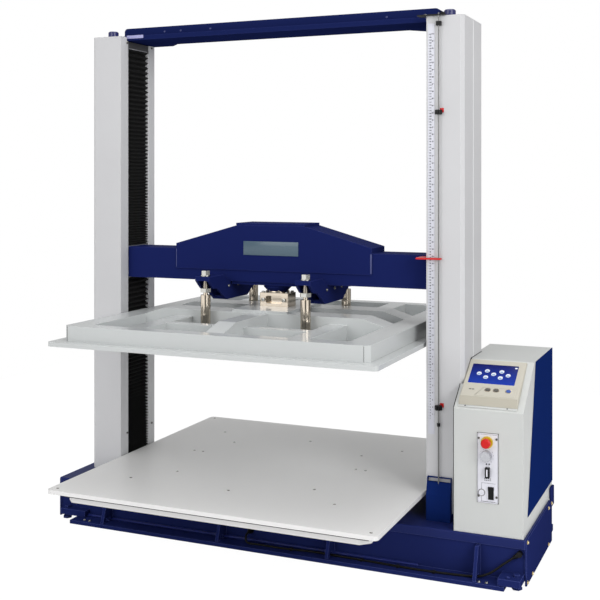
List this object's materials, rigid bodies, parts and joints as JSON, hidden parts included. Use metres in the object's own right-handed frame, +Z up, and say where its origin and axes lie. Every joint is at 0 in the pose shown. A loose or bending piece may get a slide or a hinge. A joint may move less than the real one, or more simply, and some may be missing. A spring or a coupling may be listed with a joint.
{
  "type": "box compression tester",
  "caption": "Floor-standing twin-column compression tester with a screw-driven crosshead, square platen, table, load cell and a side control console.",
  "frame": {"origin": "centre of the machine's footprint box, on the floor", "axes": "+X towards the control console, +Y from the front of the machine to its back, +Z up"},
  "size_m": [1.874, 1.254, 1.97],
  "materials": {
    "grey_paint": "satin",
    "navy_paint": "gloss",
    "dark_navy_paint": "satin",
    "platen_paint": "gloss",
    "table_paint": "satin",
    "machined_steel": "ground",
    "nickel_plate": "polished",
    "zinc_plate": "plated",
    "black_rubber": "matte",
    "black_plastic": "matte",
    "blue_plastic": "gloss",
    "blue_panel": "gloss",
    "bezel_plastic": "matte",
    "display_glass": "gloss",
    "red_plastic": "gloss",
    "yellow_plastic": "gloss",
    "ruler_steel": "satin"
  },
  "bodies": {
    "machine_frame": {"base_beams": "dark_navy_paint", "base_deck": "dark_navy_paint", "base_end_panels": "dark_navy_paint", "foot_brackets": "dark_navy_paint", "levelling_feet": "zinc_plate", "left_front_cover": "grey_paint", "left_rear_cover": "grey_paint", "right_front_cover": "grey_paint", "right_rear_cover": "grey_paint", "column_top_plates": "grey_paint", "column_frames": "dark_navy_paint", "guide_rods": "machined_steel", "guide_rod_caps": "blue_plastic", "screw_end_plates": "dark_navy_paint", "top_crossbeam": "navy_paint", "bellows_end_brackets": "dark_navy_paint", "upper_bellows": "black_rubber", "lower_bellows": "black_rubber", "drive_motor": "black_plastic", "drive_belts": "black_rubber", "table_plate": "table_paint", "table_frame": "table_paint", "table_supports": "dark_navy_paint", "ruler": "ruler_steel", "limit_rod": "machined_steel", "limit_rod_guides": "black_plastic", "limit_switch_cover": "blue_plastic", "sensor_cable": "black_rubber", "cable_gland": "black_plastic", "cable_clips": "black_plastic", "controller_housing": "grey_paint", "controller_side_panel": "blue_panel", "display_bezel": "bezel_plastic", "display_screen": "display_glass", "switch_panel": "grey_paint", "mains_connector": "black_plastic", "estop_collar": "yellow_plastic"},
    "crosshead": {"crosshead_beam": "navy_paint", "crosshead_carriages": "machined_steel", "crosshead_housing": "navy_paint", "platen_brackets": "navy_paint", "platen_posts": "nickel_plate", "post_fasteners": "zinc_plate", "load_cell_mount": "navy_paint", "load_cell": "nickel_plate", "platen_mount_plate": "platen_paint", "upper_platen_plate": "platen_paint", "upper_platen_frame": "platen_paint", "height_pointer": "red_plastic"},
    "left_screw": {"left_ball_screw": "machined_steel"},
    "right_screw": {"right_ball_screw": "machined_steel"},
    "motor_rotor": {"motor_pulley": "machined_steel"},
    "upper_stop": {"upper_stop_knob": "black_plastic"},
    "lower_stop": {"lower_stop_knob": "black_plastic"},
    "emergency_stop": {"estop_button": "red_plastic"},
    "speed_dial": {"speed_knob": "nickel_plate"},
    "power_rocker": {"power_switch": "black_plastic"},
    "left_key": {"bezel_button_left": "black_plastic"},
    "middle_key": {"bezel_button_middle": "black_plastic"},
    "right_key": {"bezel_button_right": "blue_plastic"}
  },
  "joints": [
    {"name": "crosshead_slide", "type": "slide", "parent": "machine_frame", "child": "crosshead", "axis": [0, 0, 1], "range_m": [-0.49, 0.49], "deforming": ["upper_bellows", "lower_bellows"]},
    {"name": "left_screw_spin", "type": "hinge", "parent": "machine_frame", "child": "left_screw", "pos_m": [-0.784, 0, 0.151], "axis": [0, 0, 1], "continuous": true},
    {"name": "right_screw_spin", "type": "hinge", "parent": "machine_frame", "child": "right_screw", "pos_m": [0.634, 0, 0.151], "axis": [0, 0, 1], "continuous": true},
    {"name": "motor_spin", "type": "hinge", "parent": "machine_frame", "child": "motor_rotor", "pos_m": [0.805, 0, 0.151], "axis": [0, 0, 1], "continuous": true},
    {"name": "upper_stop_slide", "type": "slide", "parent": "machine_frame", "child": "upper_stop", "axis": [0, 0, 1], "range_m": [-0.4, 0.29]},
    {"name": "lower_stop_slide", "type": "slide", "parent": "machine_frame", "child": "lower_stop", "axis": [0, 0, 1], "range_m": [-0.03, 0.45]},
    {"name": "estop_push", "type": "slide", "parent": "machine_frame", "child": "emergency_stop", "axis": [0, 1, 0], "range_m": [0, 0.006], "stiffness_N_per_m": 800},
    {"name": "speed_turn", "type": "hinge", "parent": "machine_frame", "child": "speed_dial", "pos_m": [0.802, -0.225, 0.42], "axis": [0, -1, 0], "range_deg": [-140, 140]},
    {"name": "power_rock", "type": "hinge", "parent": "machine_frame", "child": "power_rocker", "pos_m": [0.817, -0.225, 0.295], "axis": [-1, 0, 0], "range_deg": [0, 16]},
    {"name": "left_key_push", "type": "slide", "parent": "machine_frame", "child": "left_key", "axis": [0, 0.5355, -0.8446], "range_m": [0, 0.002], "stiffness_N_per_m": 300},
    {"name": "middle_key_push", "type": "slide", "parent": "machine_frame", "child": "middle_key", "axis": [0, 0.5355, -0.8446], "range_m": [0, 0.002], "stiffness_N_per_m": 300},
    {"name": "right_key_push", "type": "slide", "parent": "machine_frame", "child": "right_key", "axis": [0, 0.5355, -0.8446], "range_m": [0, 0.002], "stiffness_N_per_m": 300}
  ],
  "couplings": [
    {"joint": "left_screw_spin", "follows": "crosshead_slide", "rad_per_m": 628.32},
    {"joint": "right_screw_spin", "follows": "crosshead_slide", "rad_per_m": 628.32},
    {"joint": "motor_spin", "follows": "crosshead_slide", "rad_per_m": 942.48}
  ]
}
